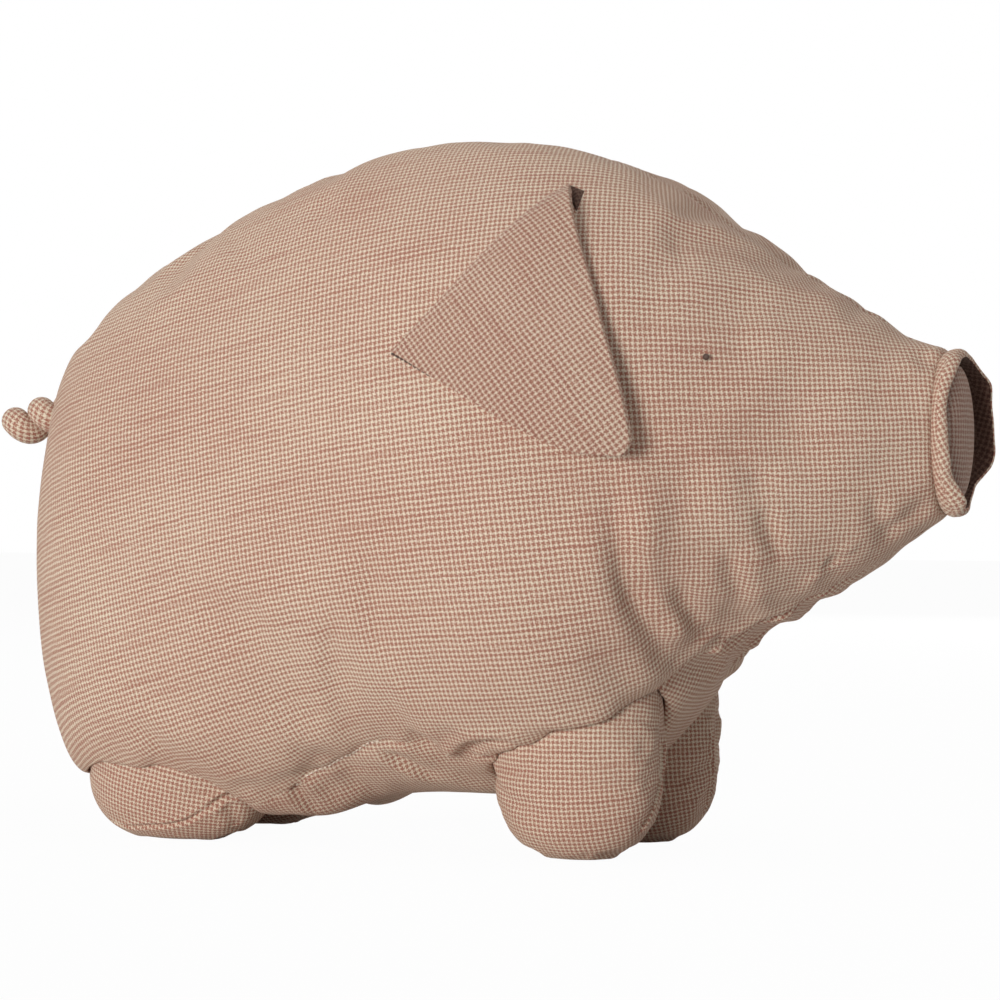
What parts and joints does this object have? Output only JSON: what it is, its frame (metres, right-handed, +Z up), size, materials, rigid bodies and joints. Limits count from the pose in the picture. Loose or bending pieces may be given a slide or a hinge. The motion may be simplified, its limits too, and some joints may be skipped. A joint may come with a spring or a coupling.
{
  "type": "plush pig",
  "caption": "Stuffed cloth pig standing on stub legs, with large triangular ears, a domed snout disc inside a rolled lip, and a curled tail.",
  "frame": {"origin": "on the floor, under the middle of the pig's bounding box", "axes": "+X towards the snout, +Y towards the pig's left side, +Z up"},
  "size_m": [0.4732, 0.2322, 0.309],
  "materials": {
    "woven_cloth": "rust and cream micro check, matt, slightly slubbed",
    "lining_cloth": "the same check cloth, on the side of the ear that lies on the head",
    "disc_cloth": "the same check cloth, taut over the snout",
    "stuffing": "white polyester fibre",
    "thread": "dark brown embroidery thread"
  },
  "bodies": {
    "body": {"side_panel_right": "woven_cloth", "side_panel_left": "woven_cloth", "belly_gusset": "woven_cloth", "body_filling": "stuffing", "head_filling": "stuffing", "snout_rim": "woven_cloth", "snout_disc": "disc_cloth", "eye_right": "thread", "eye_left": "thread"},
    "leg_front_right": {"leg_front_right_outer_cover": "woven_cloth", "leg_front_right_inner_cover": "woven_cloth", "leg_front_right_filling": "stuffing"},
    "leg_front_left": {"leg_front_left_outer_cover": "woven_cloth", "leg_front_left_inner_cover": "woven_cloth", "leg_front_left_filling": "stuffing"},
    "leg_hind_right": {"leg_hind_right_outer_cover": "woven_cloth", "leg_hind_right_inner_cover": "woven_cloth", "leg_hind_right_filling": "stuffing"},
    "leg_hind_left": {"leg_hind_left_outer_cover": "woven_cloth", "leg_hind_left_inner_cover": "woven_cloth", "leg_hind_left_filling": "stuffing"},
    "ear_right": {"ear_right_leaf": "woven_cloth", "ear_right_lining": "lining_cloth"},
    "ear_left": {"ear_left_leaf": "woven_cloth", "ear_left_lining": "lining_cloth"},
    "tail": {"tail": "woven_cloth"}
  },
  "joints": [
    {"name": "hip_front_right", "type": "hinge", "parent": "body", "child": "leg_front_right", "pos_m": [0.0726, -0.0343, 0.06], "axis": [0, 1, 0], "range_deg": [-12, 12], "stiffness_Nm_per_rad": 1.5},
    {"name": "hip_front_left", "type": "hinge", "parent": "body", "child": "leg_front_left", "pos_m": [0.0726, 0.0343, 0.06], "axis": [0, 1, 0], "range_deg": [-12, 12], "stiffness_Nm_per_rad": 1.5},
    {"name": "hip_hind_right", "type": "hinge", "parent": "body", "child": "leg_hind_right", "pos_m": [-0.1197, -0.0343, 0.034], "axis": [0, 1, 0], "range_deg": [-8, 8], "stiffness_Nm_per_rad": 1.5},
    {"name": "hip_hind_left", "type": "hinge", "parent": "body", "child": "leg_hind_left", "pos_m": [-0.1197, 0.0343, 0.034], "axis": [0, 1, 0], "range_deg": [-8, 8], "stiffness_Nm_per_rad": 1.5},
    {"name": "ear_lift_right", "type": "hinge", "parent": "body", "child": "ear_right", "pos_m": [0.04627, -0.08742, 0.25431], "axis": [-0.5863, -0.46, -0.6668], "range_deg": [0, 110]},
    {"name": "ear_lift_left", "type": "hinge", "parent": "body", "child": "ear_left", "pos_m": [0.04627, 0.08742, 0.25431], "axis": [0.5863, -0.46, 0.6668], "range_deg": [0, 110]},
    {"name": "tail_swing", "type": "hinge", "parent": "body", "child": "tail", "pos_m": [-0.20008, 0, 0.19056], "axis": [0, 0, 1], "range_deg": [-25, 25], "stiffness_Nm_per_rad": 0.01}
  ]
}
